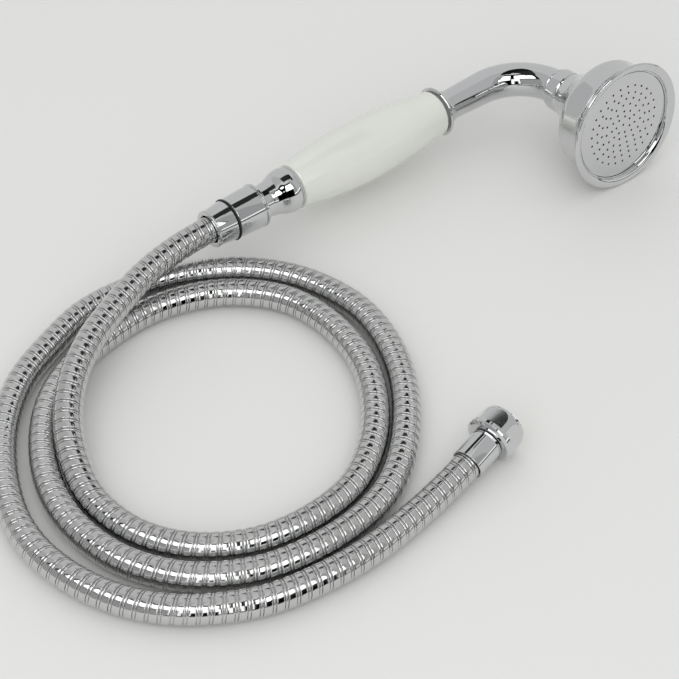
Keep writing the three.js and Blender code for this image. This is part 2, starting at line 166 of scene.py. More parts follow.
# The head
DRUM_R = 31
SHOULDER_R = 8
HOLE_R = 0.62
HOLE_RINGS = [
    {"radius": 0, "count": 1, "turn": 0},
    {"radius": 5, "count": 7, "turn": 26.5},
    {"radius": 8.3, "count": 11, "turn": 22},
    {"radius": 12.2, "count": 15, "turn": 20},
    {"radius": 15.6, "count": 18, "turn": 4},
    {"radius": 18.9, "count": 23, "turn": 2},
    {"radius": 22.8, "count": 27, "turn": 3.5},
]

# The hex nut, with a G1/2 pipe thread inside
HEX_FLATS = 22.6  # across the flats
HEX_TURN = math.radians(-27)  # where the nut has come to rest on its joint
HEX_BAND = 3.2  # length of the round band behind the flats
BARREL_R = 12.3
THREAD_PITCH = 1.814
THREAD_MINOR_R = 9.32
THREAD_MAJOR_R = 10.48

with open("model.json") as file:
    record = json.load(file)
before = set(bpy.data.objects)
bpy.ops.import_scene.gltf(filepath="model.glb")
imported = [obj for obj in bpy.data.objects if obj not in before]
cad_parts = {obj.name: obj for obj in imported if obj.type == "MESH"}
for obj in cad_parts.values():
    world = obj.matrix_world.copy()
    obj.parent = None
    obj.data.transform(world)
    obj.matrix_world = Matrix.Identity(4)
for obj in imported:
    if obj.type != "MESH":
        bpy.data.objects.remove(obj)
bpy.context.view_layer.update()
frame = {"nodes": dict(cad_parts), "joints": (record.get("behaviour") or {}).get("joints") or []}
NODES = frame["nodes"]
JOINTS = {joint["name"]: joint for joint in frame["joints"]}


# ---- axes ----


def middle(node):
    """The mean of a node's vertices, which lies on the axis of a turned one."""
    return sum((v.co for v in NODES[node].data.vertices), Vector()) / len(NODES[node].data.vertices)


class Axis:
    """A straight line through turned pieces: +X runs along it, and its unit is a millimetre."""

    def __init__(self, origin, direction, side):
        x = Vector(direction).normalized()
        y = (Vector(side) - x * x.dot(Vector(side))).normalized()
        turn = Matrix((x, y, x.cross(y))).transposed().to_4x4()
        self.matrix = Matrix.Translation(origin) @ turn @ Matrix.Scale(MM, 4)
        self.inverse = self.matrix.inverted()

    def span(self, node):
        """The lowest station, the highest station and the largest radius of a CAD node."""
        points = [self.inverse @ v.co for v in NODES[node].data.vertices]
        stations = [p.x for p in points]
        return min(stations), max(stations), max(math.hypot(p.y, p.z) for p in points)

    def point(self, station, radius=0.0, angle=0.0):
        return self.matrix @ Vector((station, radius * math.cos(angle), radius * math.sin(angle)))

    def direction(self):
        return (self.matrix.to_3x3() @ Vector((1, 0, 0))).normalized()


HEAD_LINE = (middle("head_rim") - middle("union_collar")).normalized()
HANDLE = Axis(JOINTS["handset_swivel"]["pos_m"], JOINTS["handset_swivel"]["axis"], HEAD_LINE)
HEAD = Axis(middle("head_rim"), HEAD_LINE, (0, 0, 1))
TAP = Axis(JOINTS["hex_nut_turn"]["pos_m"], JOINTS["hex_nut_turn"]["axis"], (0, 0, 1))


# ---- outlines ----


def rounded(corners, steps=5):
    """An outline of (station, radius) points from corners, each with an optional fillet size."""
    points = []
    count = len(corners)
    for i, corner in enumerate(corners):
        here = Vector(corner[:2])
        fillet = corner[2] if len(corner) > 2 else 0
        before = Vector(corners[i - 1][:2]) - here
        after = Vector(corners[(i + 1) % count][:2]) - here
        if not fillet:
            points.append(tuple(here))
            continue
        half = before.angle(after) / 2
        reach = min(fillet / math.tan(half), 0.49 * before.length, 0.49 * after.length)
        start = here + before.normalized() * reach
        end = here + after.normalized() * reach
        for k in range(steps + 1):
            t = k / steps
            points.append(tuple(start * (1 - t) ** 2 + here * (2 * t * (1 - t)) + end * t**2))
    return points


def smooth(points, steps):
    """Catmull-Rom points through a few (station, radius) points, ends included."""
    p = [Vector(q) for q in points]
    p = [2 * p[0] - p[1], *p, 2 * p[-1] - p[-2]]
    made = []
    for i in range(1, len(p) - 2):
        for k in range(steps):
            made.append(tuple(catmull(p[i - 1], p[i], p[i + 1], p[i + 2], k / steps)))
    made.append(tuple(p[-2]))
    return made


def catmull(a, b, c, d, t):
    """The point at share t of the way from b to c."""
    first = (c - a) * 0.5
    last = (d - b) * 0.5
    bend = (c - b) * 3 - first * 2 - last
    twist = (b - c) * 2 + first + last
    return b + first * t + bend * t**2 + twist * t**3


def arc(centre, reach, first, last, count):
    """Points round part of an ellipse, from one angle in degrees to another."""
    return [
        (centre[0] + reach[0] * math.cos(a), centre[1] + reach[1] * math.sin(a))
        for a in np.radians(np.linspace(first, last, count))
    ]


# ---- mesh helpers ----


def mesh_piece(name, bm, material, sharp_degrees=32):
    """A smooth-shaded piece, with sharp edges where two faces meet at more than an angle."""
    bmesh.ops.recalc_face_normals(bm, faces=bm.faces)
    mesh = bpy.data.meshes.new(name)
    bm.to_mesh(mesh)
    bm.free()
    for polygon in mesh.polygons:
        polygon.use_smooth = True
    mesh.set_sharp_from_angle(angle=math.radians(sharp_degrees))
    mesh.materials.append(material)
    piece = bpy.data.objects.new(name, mesh)
    bpy.context.scene.collection.objects.link(piece)
    return piece


def grid(bm, rows, columns, at, wrap_rows=False, wrap_columns=False):
    """Quads over rows by columns of points at(i, j); a wrapped side closes on itself."""
    verts = [[bm.verts.new(at(i, j)) for j in range(columns)] for i in range(rows)]
    for i in range(rows if wrap_rows else rows - 1):
        for j in range(columns if wrap_columns else columns - 1):
            a = verts[i]
            b = verts[(i + 1) % rows]
            k = (j + 1) % columns
            bm.faces.new((a[j], a[k], b[k], b[j]))


def worked_out(piece):
    """The mesh that an object's curve or modifiers come to."""
    bpy.context.view_layer.update()
    mesh = bpy.data.meshes.new_from_object(piece.evaluated_get(bpy.context.evaluated_depsgraph_get()))
    bm = bmesh.new()
    bm.from_mesh(mesh)
    return bm


def braced(outline, reach=0.12, corner_degrees=8):
    """The closed outline with a point close to each corner on its long sides, which keeps these flat."""
    points = []
    for i, here in enumerate(map(Vector, outline)):
        into = here - Vector(outline[i - 1])
        out = Vector(outline[(i + 1) % len(outline)]) - here
        cornered = into.angle(out, 0) > math.radians(corner_degrees)
        if cornered and into.length > 4 * reach:
            points.append(tuple(here - into.normalized() * reach))
        points.append(tuple(here))
        if cornered and out.length > 4 * reach:
            points.append(tuple(here + out.normalized() * reach))
    return points


def turned(name, axis, outline, material, segments=FINE):
    """A closed outline turned about an axis."""
    outline = braced(outline)
    bm = bmesh.new()

    def at(i, j):
        return axis.point(*outline[i], 2 * math.pi * j / segments)

    grid(bm, len(outline), segments, at, wrap_rows=True, wrap_columns=True)
    return mesh_piece(name, bm, material)


def swept(name, stations, place, radius, bore, sides, material):
    """A tube with open ends closed by flat rings: place(station, radius, angle) gives a point."""
    bm = bmesh.new()
    there = [(s, radius(s)) for s in stations]
    back = [(s, bore(s)) for s in reversed(stations)]
    loop = there + back

    def at(i, j):
        return place(loop[i][0], loop[i][1], 2 * math.pi * j / sides)

    grid(bm, len(loop), sides, at, wrap_rows=True, wrap_columns=True)
    return mesh_piece(name, bm, material)


def helical(bm, start, end, pitch, profile, around, place):
    """A surface wound from a profile of one pitch; its two edges are trimmed square."""
    shares = [p for p, _ in profile]
    radii = [r for _, r in profile]
    turns = math.ceil((end - start) / pitch) + 1
    steps = turns * around

    def at(i, j):
        station = start + pitch * (i / around + shares[j] - 1)
        station = min(end, max(start, station))
        phase = ((station - start) / pitch - i / around) % 1
        if abs(phase - shares[j]) < SAME_SHARE:
            phase = shares[j]
        return place(station, np.interp(phase, shares, radii), 2 * math.pi * i / around)

    grid(bm, steps + 1, len(profile), at)
    bmesh.ops.remove_doubles(bm, verts=bm.verts, dist=WELD)
    bmesh.ops.dissolve_degenerate(bm, edges=bm.edges, dist=SLIVER)


# ---- material helpers ----

VARY_RANGE = (0.3, 0.7)  # part of a noise pattern's values that moves a number
TINT_RANGE = (0.35, 0.65)  # part of a noise pattern's values that moves a colour


def principled(name, color, metallic, roughness, **sockets):
    """A material; further sockets of the shader are named with _ for a space."""
    material = bpy.data.materials.new(name)
    material.use_nodes = True
    shader = material.node_tree.nodes["Principled BSDF"]
    shader.inputs["Base Color"].default_value = (*color, 1)
    shader.inputs["Metallic"].default_value = metallic
    shader.inputs["Roughness"].default_value = roughness
    for socket, value in sockets.items():
        shader.inputs[socket.replace("_", " ")].default_value = value
    return material


def noise(material, scale, detail):
    """A noise pattern in the row frame, in features per metre."""
    nodes, links = material.node_tree.nodes, material.node_tree.links
    place = nodes.new("ShaderNodeTexCoord")
    texture = nodes.new("ShaderNodeTexNoise")
    texture.inputs["Scale"].default_value = scale
    texture.inputs["Detail"].default_value = detail
    links.new(place.outputs["Object"], texture.inputs["Vector"])
    return texture.outputs["Fac"]


def vary(material, pattern, socket, low, high):
    """Lets a pattern move a number of the shader between two values."""
    nodes, links = material.node_tree.nodes, material.node_tree.links
    span = nodes.new("ShaderNodeMapRange")
    span.inputs["From Min"].default_value = VARY_RANGE[0]
    span.inputs["From Max"].default_value = VARY_RANGE[1]
    span.inputs["To Min"].default_value = low
    span.inputs["To Max"].default_value = high
    links.new(pattern, span.inputs["Value"])
    links.new(span.outputs["Result"], nodes["Principled BSDF"].inputs[socket])


def tint(material, pattern, low, high):
    """Lets a pattern move the base colour between two colours."""
    nodes, links = material.node_tree.nodes, material.node_tree.links
    ramp = nodes.new("ShaderNodeValToRGB")
    for stop, position, color in zip(ramp.color_ramp.elements, TINT_RANGE, (low, high)):
        stop.position = position
        stop.color = (*color, 1)
    links.new(pattern, ramp.inputs["Fac"])
    links.new(ramp.outputs["Color"], nodes["Principled BSDF"].inputs["Base Color"])


def bump(material, pattern, depth):
    """Lets a pattern raise the surface by a depth in metres."""
    nodes, links = material.node_tree.nodes, material.node_tree.links
    node = nodes.new("ShaderNodeBump")
    node.inputs["Strength"].default_value = 1
    node.inputs["Distance"].default_value = depth
    links.new(pattern, node.inputs["Height"])
    links.new(node.outputs["Normal"], nodes["Principled BSDF"].inputs["Normal"])


def chrome():
    made = principled("chrome_plate", (0.66, 0.67, 0.675), 1, 0.05)
    vary(made, noise(made, 55, 4), "Roughness", 0.03, 0.075)
    bump(made, noise(made, 900, 2), 0.0000006)
    return made


def hose_strip():
    made = principled("wound_strip", (0.62, 0.625, 0.62), 1, 0.12)
    vary(made, noise(made, 160, 4), "Roughness", 0.06, 0.16)
    bump(made, noise(made, 1500, 3), 0.000002)
    return made


def glaze():
    made = principled(
        "white_glaze",
        (0.72, 0.74, 0.69),
        0,
        0.16,
        Coat_Weight=0.6,
        Coat_Roughness=0.04,
        Subsurface_Weight=0.08,
        Subsurface_Radius=(0.004, 0.004, 0.003),
    )
    tint(made, noise(made, 18, 2), (0.71, 0.73, 0.68), (0.735, 0.75, 0.705))
    vary(made, noise(made, 70, 3), "Roughness", 0.12, 0.2)
    bump(made, noise(made, 220, 2), 0.000004)
    return made


def rubber():
    made = principled("black_rubber", (0.018, 0.018, 0.018), 0, 0.5)
    vary(made, noise(made, 600, 3), "Roughness", 0.4, 0.65)
    bump(made, noise(made, 3000, 3), 0.00001)
    return made


def brass():
    made = principled("turned_brass", (0.72, 0.53, 0.24), 1, 0.28)
    vary(made, noise(made, 120, 4), "Roughness", 0.22, 0.38)
    bump(made, noise(made, 2500, 2), 0.000004)
    return made


def plastic():
    made = principled("grey_plastic", (0.55, 0.56, 0.54), 0, 0.45)
    vary(made, noise(made, 300, 3), "Roughness", 0.4, 0.55)
    bump(made, noise(made, 1800, 2), 0.000006)
    return made


# The materials by the record's slots
LOOKS = {
    "chrome": chrome(),
    "hose_steel": hose_strip(),
    "white_glaze": glaze(),
    "black_rubber": rubber(),
    "raw_brass": brass(),
    "grey_plastic": plastic(),
}


# ---- pieces that stand for CAD nodes ----


def finished(piece, node, body):
    """Hides the CAD node that a piece stands for, and sets the piece on the body that it rides on."""
    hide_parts(node)
    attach(piece, body)
    return piece


def lathe(name, node, body, axis, outline, slot="chrome", segments=FINE):
    """A turned piece that stands for a CAD node."""
    return finished(turned(name, axis, outline, LOOKS[slot], segments), node, body)


def recoat(node, slot):
    """Gives a CAD node that stays as it is a finished material."""
    NODES[node].data.materials.clear()
    NODES[node].data.materials.append(LOOKS[slot])


# ---- camera ----

CAMERA_AZIMUTH = math.radians(-39.8)
CAMERA_ELEVATION = math.radians(44)
CAMERA_DISTANCE = 909 * MM
CAMERA_LENS = 96.6
LOOK_AT = (4.6, -84.3)  # millimetres from the swivel's foot on the table


def make_camera():
    foot = HANDLE.point(0)
    target = Vector((foot.x + LOOK_AT[0] * MM, foot.y + LOOK_AT[1] * MM, 0))
    level = math.cos(CAMERA_ELEVATION)
    back = Vector(
        (
            math.sin(CAMERA_AZIMUTH) * level,
            -math.cos(CAMERA_AZIMUTH) * level,
            math.sin(CAMERA_ELEVATION),
        )
    )
    data = bpy.data.cameras.new("camera")
    data.lens = CAMERA_LENS
    data.sensor_width = 36
    data.clip_start = 0.01
    data.clip_end = 50
    camera = bpy.data.objects.new("camera", data)
    camera.location = target + back * CAMERA_DISTANCE
    camera.rotation_euler = (-back).to_track_quat("-Z", "Y").to_euler()
    bpy.context.scene.collection.objects.link(camera)
    bpy.context.scene.camera = camera


# ---- hose ----


class HoseLine:
    """The hose's centreline with a frame that doesn't twist, by length in millimetres."""

    STEPS = 24  # points worked out between two route points

    def __init__(self):
        foot = Vector((HANDLE.point(0).x, HANDLE.point(0).y, 0)) / MM
        ends = [TAP.point(0) / MM, TAP.point(HOSE_CRIMP) / MM]
        route = [Vector(p) + foot for p in HOSE_ROUTE] + ends
        fine = [Vector(p) for p in self.fine_points(route)]
        self.points = np.array(fine)
        self.lengths = np.concatenate(
            ([0], np.cumsum(np.linalg.norm(np.diff(self.points, axis=0), axis=1)))
        )
        self.total = float(self.lengths[-1])
        tangents = np.gradient(self.points, self.lengths, axis=0)
        tangents /= np.linalg.norm(tangents, axis=1)[:, None]
        side = np.cross(tangents[0], (0, 0, 1))
        sides = []
        for tangent in tangents:
            side = side - tangent * (side @ tangent)
            side = side / np.linalg.norm(side)
            sides.append(side)
        self.sides = np.array(sides)
        self.ups = np.cross(self.sides, tangents)

    def fine_points(self, route):
        p = [2 * route[0] - route[1], *route, 2 * route[-1] - route[-2]]
        for i in range(1, len(p) - 2):
            for k in range(self.STEPS):
                yield catmull(p[i - 1], p[i], p[i + 1], p[i + 2], k / self.STEPS)
        yield p[-2]

    def sample(self, table, station):
        """A table's value at a station, between the points on either side of it."""
        i = min(len(self.lengths) - 2, max(0, int(np.searchsorted(self.lengths, station)) - 1))
        t = (station - self.lengths[i]) / (self.lengths[i + 1] - self.lengths[i])
        return table[i] + (table[i + 1] - table[i]) * t

    def place(self, station, radius, angle):
        centre = self.sample(self.points, station)
        side = self.sample(self.sides, station)
        up = self.sample(self.ups, station)
        return Vector(centre + radius * (math.cos(angle) * side + math.sin(angle) * up)) * MM

    def path(self, count):
        stations = np.linspace(0, self.total, count)
        return [tuple(self.sample(self.points, s) * MM) for s in stations]


def make_hose(line):
    bm = bmesh.new()
    helical(bm, 0, line.total, HOSE_PITCH, HOSE_PROFILE, HOSE_TURN, line.place)
    rings = [line.total * i / HOSE_RINGS for i in range(HOSE_RINGS + 1)]
    grid(
        bm,
        len(rings),
        HOSE_TURN,
        lambda i, j: line.place(rings[i], HOSE_BORE_R, 2 * math.pi * j / HOSE_TURN),
        wrap_columns=True,
    )
    open_edges = [e for e in bm.edges if e.is_boundary]
    for station in (0, line.total):
        centre = Vector(line.sample(line.points, station)) * MM
        near = [e for e in open_edges if (e.verts[0].co - centre).length < 2 * HOSE_R * MM]
        bmesh.ops.bridge_loops(bm, edges=near)
    hose = mesh_piece("metal_hose", bm, LOOKS["hose_steel"], sharp_degrees=40)
    return finished(hose, "hose_jacket", "hose")


def make_liner(line):
    liner = swept(
        "inner_hose",
        [line.total * i / LINER_RINGS for i in range(LINER_RINGS + 1)],
        line.place,
        lambda s: LINER_R,
        lambda s: LINER_BORE_R,
        LINER_SIDES,
        LOOKS["black_rubber"],
    )
    return finished(liner, "hose_liner", "hose")


# ---- the hose's end, the conical nut and the handle ----

HOSE_SEAT_R = 7.6  # bore that holds the hose
TAIL_SEAT_R = 5.6  # bore that holds a hose tail
CORE_SEAT_R = 5.7  # bore that holds the core tube
GRIP_BORE_R = 6.6  # bore through the ceramic and its cushions


def make_sleeve():
    start, end, radius = HANDLE.span("hose_sleeve")
    outline = [
        (start + 2.2, HOSE_SEAT_R),
        (start + 0.4, HOSE_SEAT_R),
        (start + 0.05, 8),
        *arc((start + 0.75, 9.45), (0.72, 0.75), 180, 20, 14),
        *rounded(
            [
                (start + 1.7, 9.75),
                (end - 0.1, radius, 0.4),
                (end, radius - 1.2),
                (end, TAIL_SEAT_R),
            ]
        ),
        (end - 2.6, TAIL_SEAT_R),
        (end - 2.6, HOSE_SEAT_R),
    ]
    return lathe("lower_cone_sleeve", "hose_sleeve", "hose", HANDLE, outline)


def make_ring():
    start, end, radius = HANDLE.span("swivel_ring")
    outline = rounded([(start, 7.4), (start, radius, 0.32), (end, radius, 0.32), (end, 7.4)])
    return lathe("black_swivel_ring", "swivel_ring", "hose", HANDLE, outline, "black_rubber")


def make_cone_nut():
    start, end, radius = HANDLE.span("cone_nut")
    outline = rounded(
        [
            (start, 6.2),
            (start, radius - 1, 0.35),
            (end - 2.8, radius - 0.22, 0.3),
            (end - 2.5, radius - 0.75, 0.2),
            (end - 2.1, radius - 0.75, 0.2),
            (end - 1.8, radius, 0.35),
            (end - 0.5, radius, 0.5),
            (end, radius - 1, 0.25),
            (end, 10.5),
            (end - 0.5, 10.2),
            (start + 4.8, 10.2),
            (start + 3.5, 6.2),
        ]
    )
    lathe("upper_cone_nut", "cone_nut", "handset", HANDLE, outline)


def make_base():
    start, end, radius = HANDLE.span("base_fitting")
    outline = [
        *rounded(
            [
                (start, 4.6),
                (start, 9.9, 0.5),
                (start + 9.9, 9.9),
                (start + 10.5, 9.15, 0.3),
                (start + 14, 9.1),
            ]
        )[:-1],
        *smooth(
            [
                (start + 14.6, 9.1),
                (start + 19, 9.9),
                (start + 23.1, 11.5),
                (start + 27.1, radius),
                (start + 30.1, radius - 0.3),
                (end - 0.2, radius - 0.9),
            ],
            8,
        ),
        (end, radius - 1.2),
        (end, CORE_SEAT_R),
        (start + 16.1, CORE_SEAT_R),
        (start + 16.1, 5),
        (start + 5.7, 5),
        (start + 5.7, 7.2),
        (start + 1.7, 7.2),
        (start + 1.7, 4.6),
    ]
    lathe("base_fitting_turned", "base_fitting", "handset", HANDLE, outline)


def make_ceramic():
    start, end, radius = HANDLE.span("ceramic_handle")
    foot = 12.7
    top = 12.8
    outline = [
        (start, GRIP_BORE_R),
        (start, foot - 1.2),
        (start + 0.15, foot - 0.55),
        *smooth(
            [
                (start + 0.9, foot),
                (start + 24, 15.9),
                (start + 48, radius),
                (start + 73, 15.8),
                (end - 0.9, top),
            ],
            14,
        ),
        (end - 0.15, top - 0.55),
        (end, top - 1.2),
        (end, GRIP_BORE_R),
    ]
    lathe("ceramic_barrel", "ceramic_handle", "handset", HANDLE, outline, "white_glaze", FINEST)


def make_cushions():
    for node in ("lower_cushion_washer", "upper_cushion_washer"):
        start, end, radius = HANDLE.span(node)
        outline = rounded(
            [
                (start, GRIP_BORE_R),
                (start, radius, 0.2),
                (end, radius, 0.2),
                (end, GRIP_BORE_R),
            ],
            3,
        )
        lathe(node + "_soft", node, "handset", HANDLE, outline, "grey_plastic")


def make_flange():
    start, end, radius = HANDLE.span("top_flange")
    outline = [
        *rounded(
            [
                (start, CORE_SEAT_R),
                (start, radius - 0.4, 0.3),
                (start + 0.55, radius, 0.3),
                (start + 1.3, radius - 0.15),
            ]
        ),
        *smooth(
            [
                (start + 1.7, radius - 1.1),
                (start + 2.5, 12),
                (start + 3.3, 10.9),
                (start + 4.8, 9.9),
                (start + 7, 9.35),
            ],
            7,
        ),
        (end - 0.35, 9.3),
        (end, 8.95),
        (end, 8.5),
        (end - 4.1, 8.5),
        (end - 4.1, CORE_SEAT_R),
    ]
    lathe("top_flange_turned", "top_flange", "handset", HANDLE, outline)


# ---- neck ----


class NeckLine:
    """The neck's centreline: along the handle's axis, round the bend, then along the head's axis."""

    def __init__(self):
        start = HANDLE.point(HANDLE.span("neck_tube")[0]) / MM
        end = HEAD.point(HEAD.span("neck_tube")[1]) / MM
        first = HANDLE.direction()
        second = HEAD.direction()
        angle = first.angle(second)
        gap = end - start
        cross = first.cross(second)
        corner = start + first * (gap.cross(second).dot(cross) / cross.length_squared)
        cut = NECK_BEND_R * math.tan(angle / 2)
        self.start = start
        self.first = first
        self.second = second
        self.lead = (corner - start).length - cut
        self.bend = NECK_BEND_R * angle
        self.total = self.lead + self.bend + (end - corner).length - cut
        self.normal = cross.normalized()
        self.bend_end = corner + second * cut
        self.toward = self.normal.cross(first)

    def place(self, station, radius, angle):
        if station < self.lead:
            along = self.first
            centre = self.start + self.first * station
        elif station < self.lead + self.bend:
            turn = (station - self.lead) / NECK_BEND_R
            along = self.first * math.cos(turn) + self.toward * math.sin(turn)
            centre = (
                self.start
                + self.first * (self.lead + NECK_BEND_R * math.sin(turn))
                + self.toward * (NECK_BEND_R * (1 - math.cos(turn)))
            )
        else:
            along = self.second
            centre = self.bend_end + self.second * (station - self.lead - self.bend)
        side = self.normal.cross(along)
        return (centre + radius * (math.cos(angle) * side + math.sin(angle) * self.normal)) * MM


def make_neck():
    line = NeckLine()

    def radius(station):
        return NECK_R + (NECK_HEAD_R - NECK_R) * min(1, station / line.total / NECK_TAPER)

    piece = swept(
        "bent_neck",
        [line.total * i / NECK_RINGS for i in range(NECK_RINGS + 1)],
        line.place,
        radius,
        lambda s: radius(s) - NECK_WALL,
        NECK_SIDES,
        LOOKS["chrome"],
    )
    finished(piece, "neck_tube", "handset")


UNION_BORE_R = 9.8  # clear of the neck


def make_neck_ring():
    start, end, radius = HEAD.span("neck_ring")
    outline = rounded(
        [
            (start, UNION_BORE_R),
            (start, radius - 0.45, 0.2),
            (start + 0.5, radius, 0.3),
            (end - 0.5, radius, 0.3),
            (end, radius - 0.4, 0.2),
            (end, UNION_BORE_R),
        ]
    )
    lathe("neck_ring_turned", "neck_ring", "handset", HEAD, outline)


def make_union_collar():
    start, end, radius = HEAD.span("union_collar")
    outline = rounded(
        [
            (start, UNION_BORE_R),
            (start, radius - 1.3, 0.3),
            (start + 0.9, radius - 0.25, 0.5),
            (end - 0.9, radius, 0.4),
            (end, radius - 0.7, 0.2),
            (end, UNION_BORE_R),
        ]
    )
    lathe("union_collar_turned", "union_collar", "handset", HEAD, outline)


# ---- head ----


def make_shell():
    start, end, radius = HEAD.span("head_shell")
    outline = [
        *rounded(
            [
                (start, 8.6),
                (start, 11.2, 0.3),
                (start + 0.8, 12.6, 0.4),
                (start + 2.7, 13.4),
            ]
        )[:-1],
        *smooth(
            [
                (start + 2.7, 13.4),
                (start + 9.2, 16.2),
                (start + 15.7, 22),
                (start + 19.7, 26),
            ],
            7,
        )[:-1],
        *arc((end - 11.6, DRUM_R - SHOULDER_R), (SHOULDER_R, SHOULDER_R), 137, 90, 12),
        *smooth([(end - 4, DRUM_R), (end - 1.5, DRUM_R + 0.4), (end - 0.2, radius - 0.15)], 5),
        (end, radius - 0.4),
        (end, 28.2),
        (end - 10.8, 27.8),
        (end - 14.8, 25),
        (start + 13.7, 15.4),
        (start + 6.7, 11),
        (start + 3.7, 8.6),
    ]
    lathe("head_bell", "head_shell", "handset", HEAD, outline, segments=FINEST)


def make_rim():
    start, end, radius = HEAD.span("head_rim")
    bore = 30.7  # clear of the spray plate
    crest = 0.85
    outline = [
        (start, bore),
        (start, DRUM_R + 1.2),
        (start + 0.2, DRUM_R + 1.5),
        *smooth(
            [
                (start + 1.4, DRUM_R + 2.2),
                (start + 2.6, DRUM_R + 3.4),
                (start + 3.3, radius - 0.75),
            ],
            5,
        ),
        *arc((end - 1.15, radius - crest), (crest, crest), 150, 10, 14),
        *smooth(
            [
                (end - 0.28, radius - 1.25),
                (end - 0.55, radius - 2.1),
                (end - 0.85, radius - 3.05),
                (end - 1.2, radius - 3.8),
                (end - 1.65, radius - 4.35),
                (end - 2.2, radius - 4.65),
                (end - 2.8, radius - 4.8),
            ],
            5,
        ),
        (end - 2.9, bore),
    ]
    lathe("rolled_rim", "head_rim", "handset", HEAD, outline, segments=FINEST)


def make_gasket():
    start, end, radius = HEAD.span("plate_gasket")
    outline = rounded([(start, 28.5), (start, radius, 0.2), (end, radius, 0.2), (end, 28.5)], 3)
    lathe("plate_gasket_soft", "plate_gasket", "handset", HEAD, outline, "black_rubber")


def make_plate():
    """The spray plate: a round outline with its holes, filled, made thick and bevelled, with painted shade
    on the holes' walls.
    """
    start, end, radius = HEAD.span("spray_plate")
    edge = 0.12  # bevel
    data = bpy.data.curves.new("spray_plate_outline", "CURVE")
    data.dimensions = "2D"
    data.fill_mode = "BOTH"
    data.extrude = (end - start) / 2 - edge
    data.bevel_depth = edge
    data.bevel_resolution = 2
    data.offset = -edge

    def ring(size, sides, centre=(0, 0)):
        spline = data.splines.new("POLY")
        spline.points.add(sides - 1)
        for k, point in enumerate(spline.points):
            a = 2 * math.pi * k / sides
            point.co = (centre[0] + size * math.cos(a), centre[1] + size * math.sin(a), 0, 1)
        spline.use_cyclic_u = True

    ring(radius, PLATE_SIDES)
    for row in HOLE_RINGS:
        for i in range(row["count"]):
            a = math.radians(row["turn"]) + 2 * math.pi * i / row["count"]
            ring(HOLE_R, HOLE_SIDES, (row["radius"] * math.cos(a), row["radius"] * math.sin(a)))
    holder = bpy.data.objects.new("spray_plate_outline", data)
    bpy.context.scene.collection.objects.link(holder)
    bm = worked_out(holder)
    bpy.data.objects.remove(holder)
    bmesh.ops.remove_doubles(bm, verts=bm.verts, dist=CURVE_WELD)
    half_way = Matrix.Translation(((start + end) / 2, 0, 0))
    bmesh.ops.transform(
        bm, matrix=HEAD.matrix @ half_way @ Matrix.Rotation(math.pi / 2, 4, "Y"), verts=bm.verts
    )
    bm.normal_update()
    for face in bm.faces:
        inside = (HEAD.inverse @ face.calc_center_median()).yz.length < radius - 2
        if inside and abs(face.normal.dot(HEAD.direction())) < 0.5:
            face.material_index = 1  # a hole's wall, painted black as painted shade inside the hole
    plate = mesh_piece("perforated_plate", bm, LOOKS["chrome"])
    # Black rubber on the holes' walls is painted shade inside the holes, not a rubber part.
    plate.data.materials.append(LOOKS["black_rubber"])
    finished(plate, "spray_plate", "handset")


# ---- tap end and hose tails ----

TAIL_BORE_R = 2.6
TAIL_BODY_R = 5.3  # between the barb and the flange


def make_ferrule():
    start, end, radius = TAP.span("tap_ferrule")
    outline = rounded(
        [
            (start, HOSE_SEAT_R),
            (start, radius, 0.35),
            (end - 0.35, radius, 0.2),
            (end, radius - 0.45, 0.1),
            (end, TAIL_SEAT_R),
            (start + 5.3, TAIL_SEAT_R),
            (start + 5.3, HOSE_SEAT_R),
        ]
    )
    return lathe("tap_ferrule_turned", "tap_ferrule", "hose", TAP, outline)


def make_tap_tail():
    start, end, radius = TAP.span("hose_tail_tap")
    outline = rounded(
        [
            (start, TAIL_BORE_R, 0.1),
            (start, 3, 0.1),
            (start + 10.5, 3.3),
            (start + 11.6, TAIL_BODY_R),
            (end - 1.5, TAIL_BODY_R),
            (end - 1.5, radius, 0.2),
            (end, radius, 0.2),
            (end, TAIL_BORE_R, 0.3),
        ],
        3,
    )
    return lathe("tap_tail_turned", "hose_tail_tap", "hose", TAP, outline, "raw_brass", COARSE)


def make_tap_washer():
    start, end, radius = TAP.span("tap_washer")
    outline = rounded([(start, 5, 0.2), (start, radius, 0.2), (end, radius, 0.2), (end, 5, 0.2)], 3)
    return lathe("tap_washer_soft", "tap_washer", "hose", TAP, outline, "black_rubber", COARSE)


def make_inlet_tail():
    start, end, radius = HANDLE.span("hose_tail_handset")
    outline = rounded(
        [
            (start, TAIL_BORE_R, 0.1),
            (start, 3.1, 0.1),
            (start + 17, 3.3),
            (start + 18.2, TAIL_BODY_R),
            (end - 2.5, TAIL_BODY_R),
            (end - 1.5, radius, 0.2),
            (end, radius, 0.2),
            (end, TAIL_BORE_R, 0.3),
        ],
        3,
    )
    return lathe("inlet_tail_turned", "hose_tail_handset", "hose", HANDLE, outline, "raw_brass", COARSE)


def hex_prism(start, end, flats):
    """A six-sided helper on the tap's axis, for cutting the nut."""
    bm = bmesh.new()
    corner = flats / 2 / math.cos(math.pi / 6)
    rows = [
        [bm.verts.new(TAP.point(s, corner, HEX_TURN + math.pi / 3 * k)) for k in range(6)]
        for s in (start, end)
    ]
    bm.faces.new(rows[0][::-1])
    bm.faces.new(rows[1])
    for k in range(6):
        bm.faces.new((rows[0][k], rows[0][(k + 1) % 6], rows[1][(k + 1) % 6], rows[1][k]))
    return mesh_piece("hex_cutter", bm, LOOKS["chrome"])


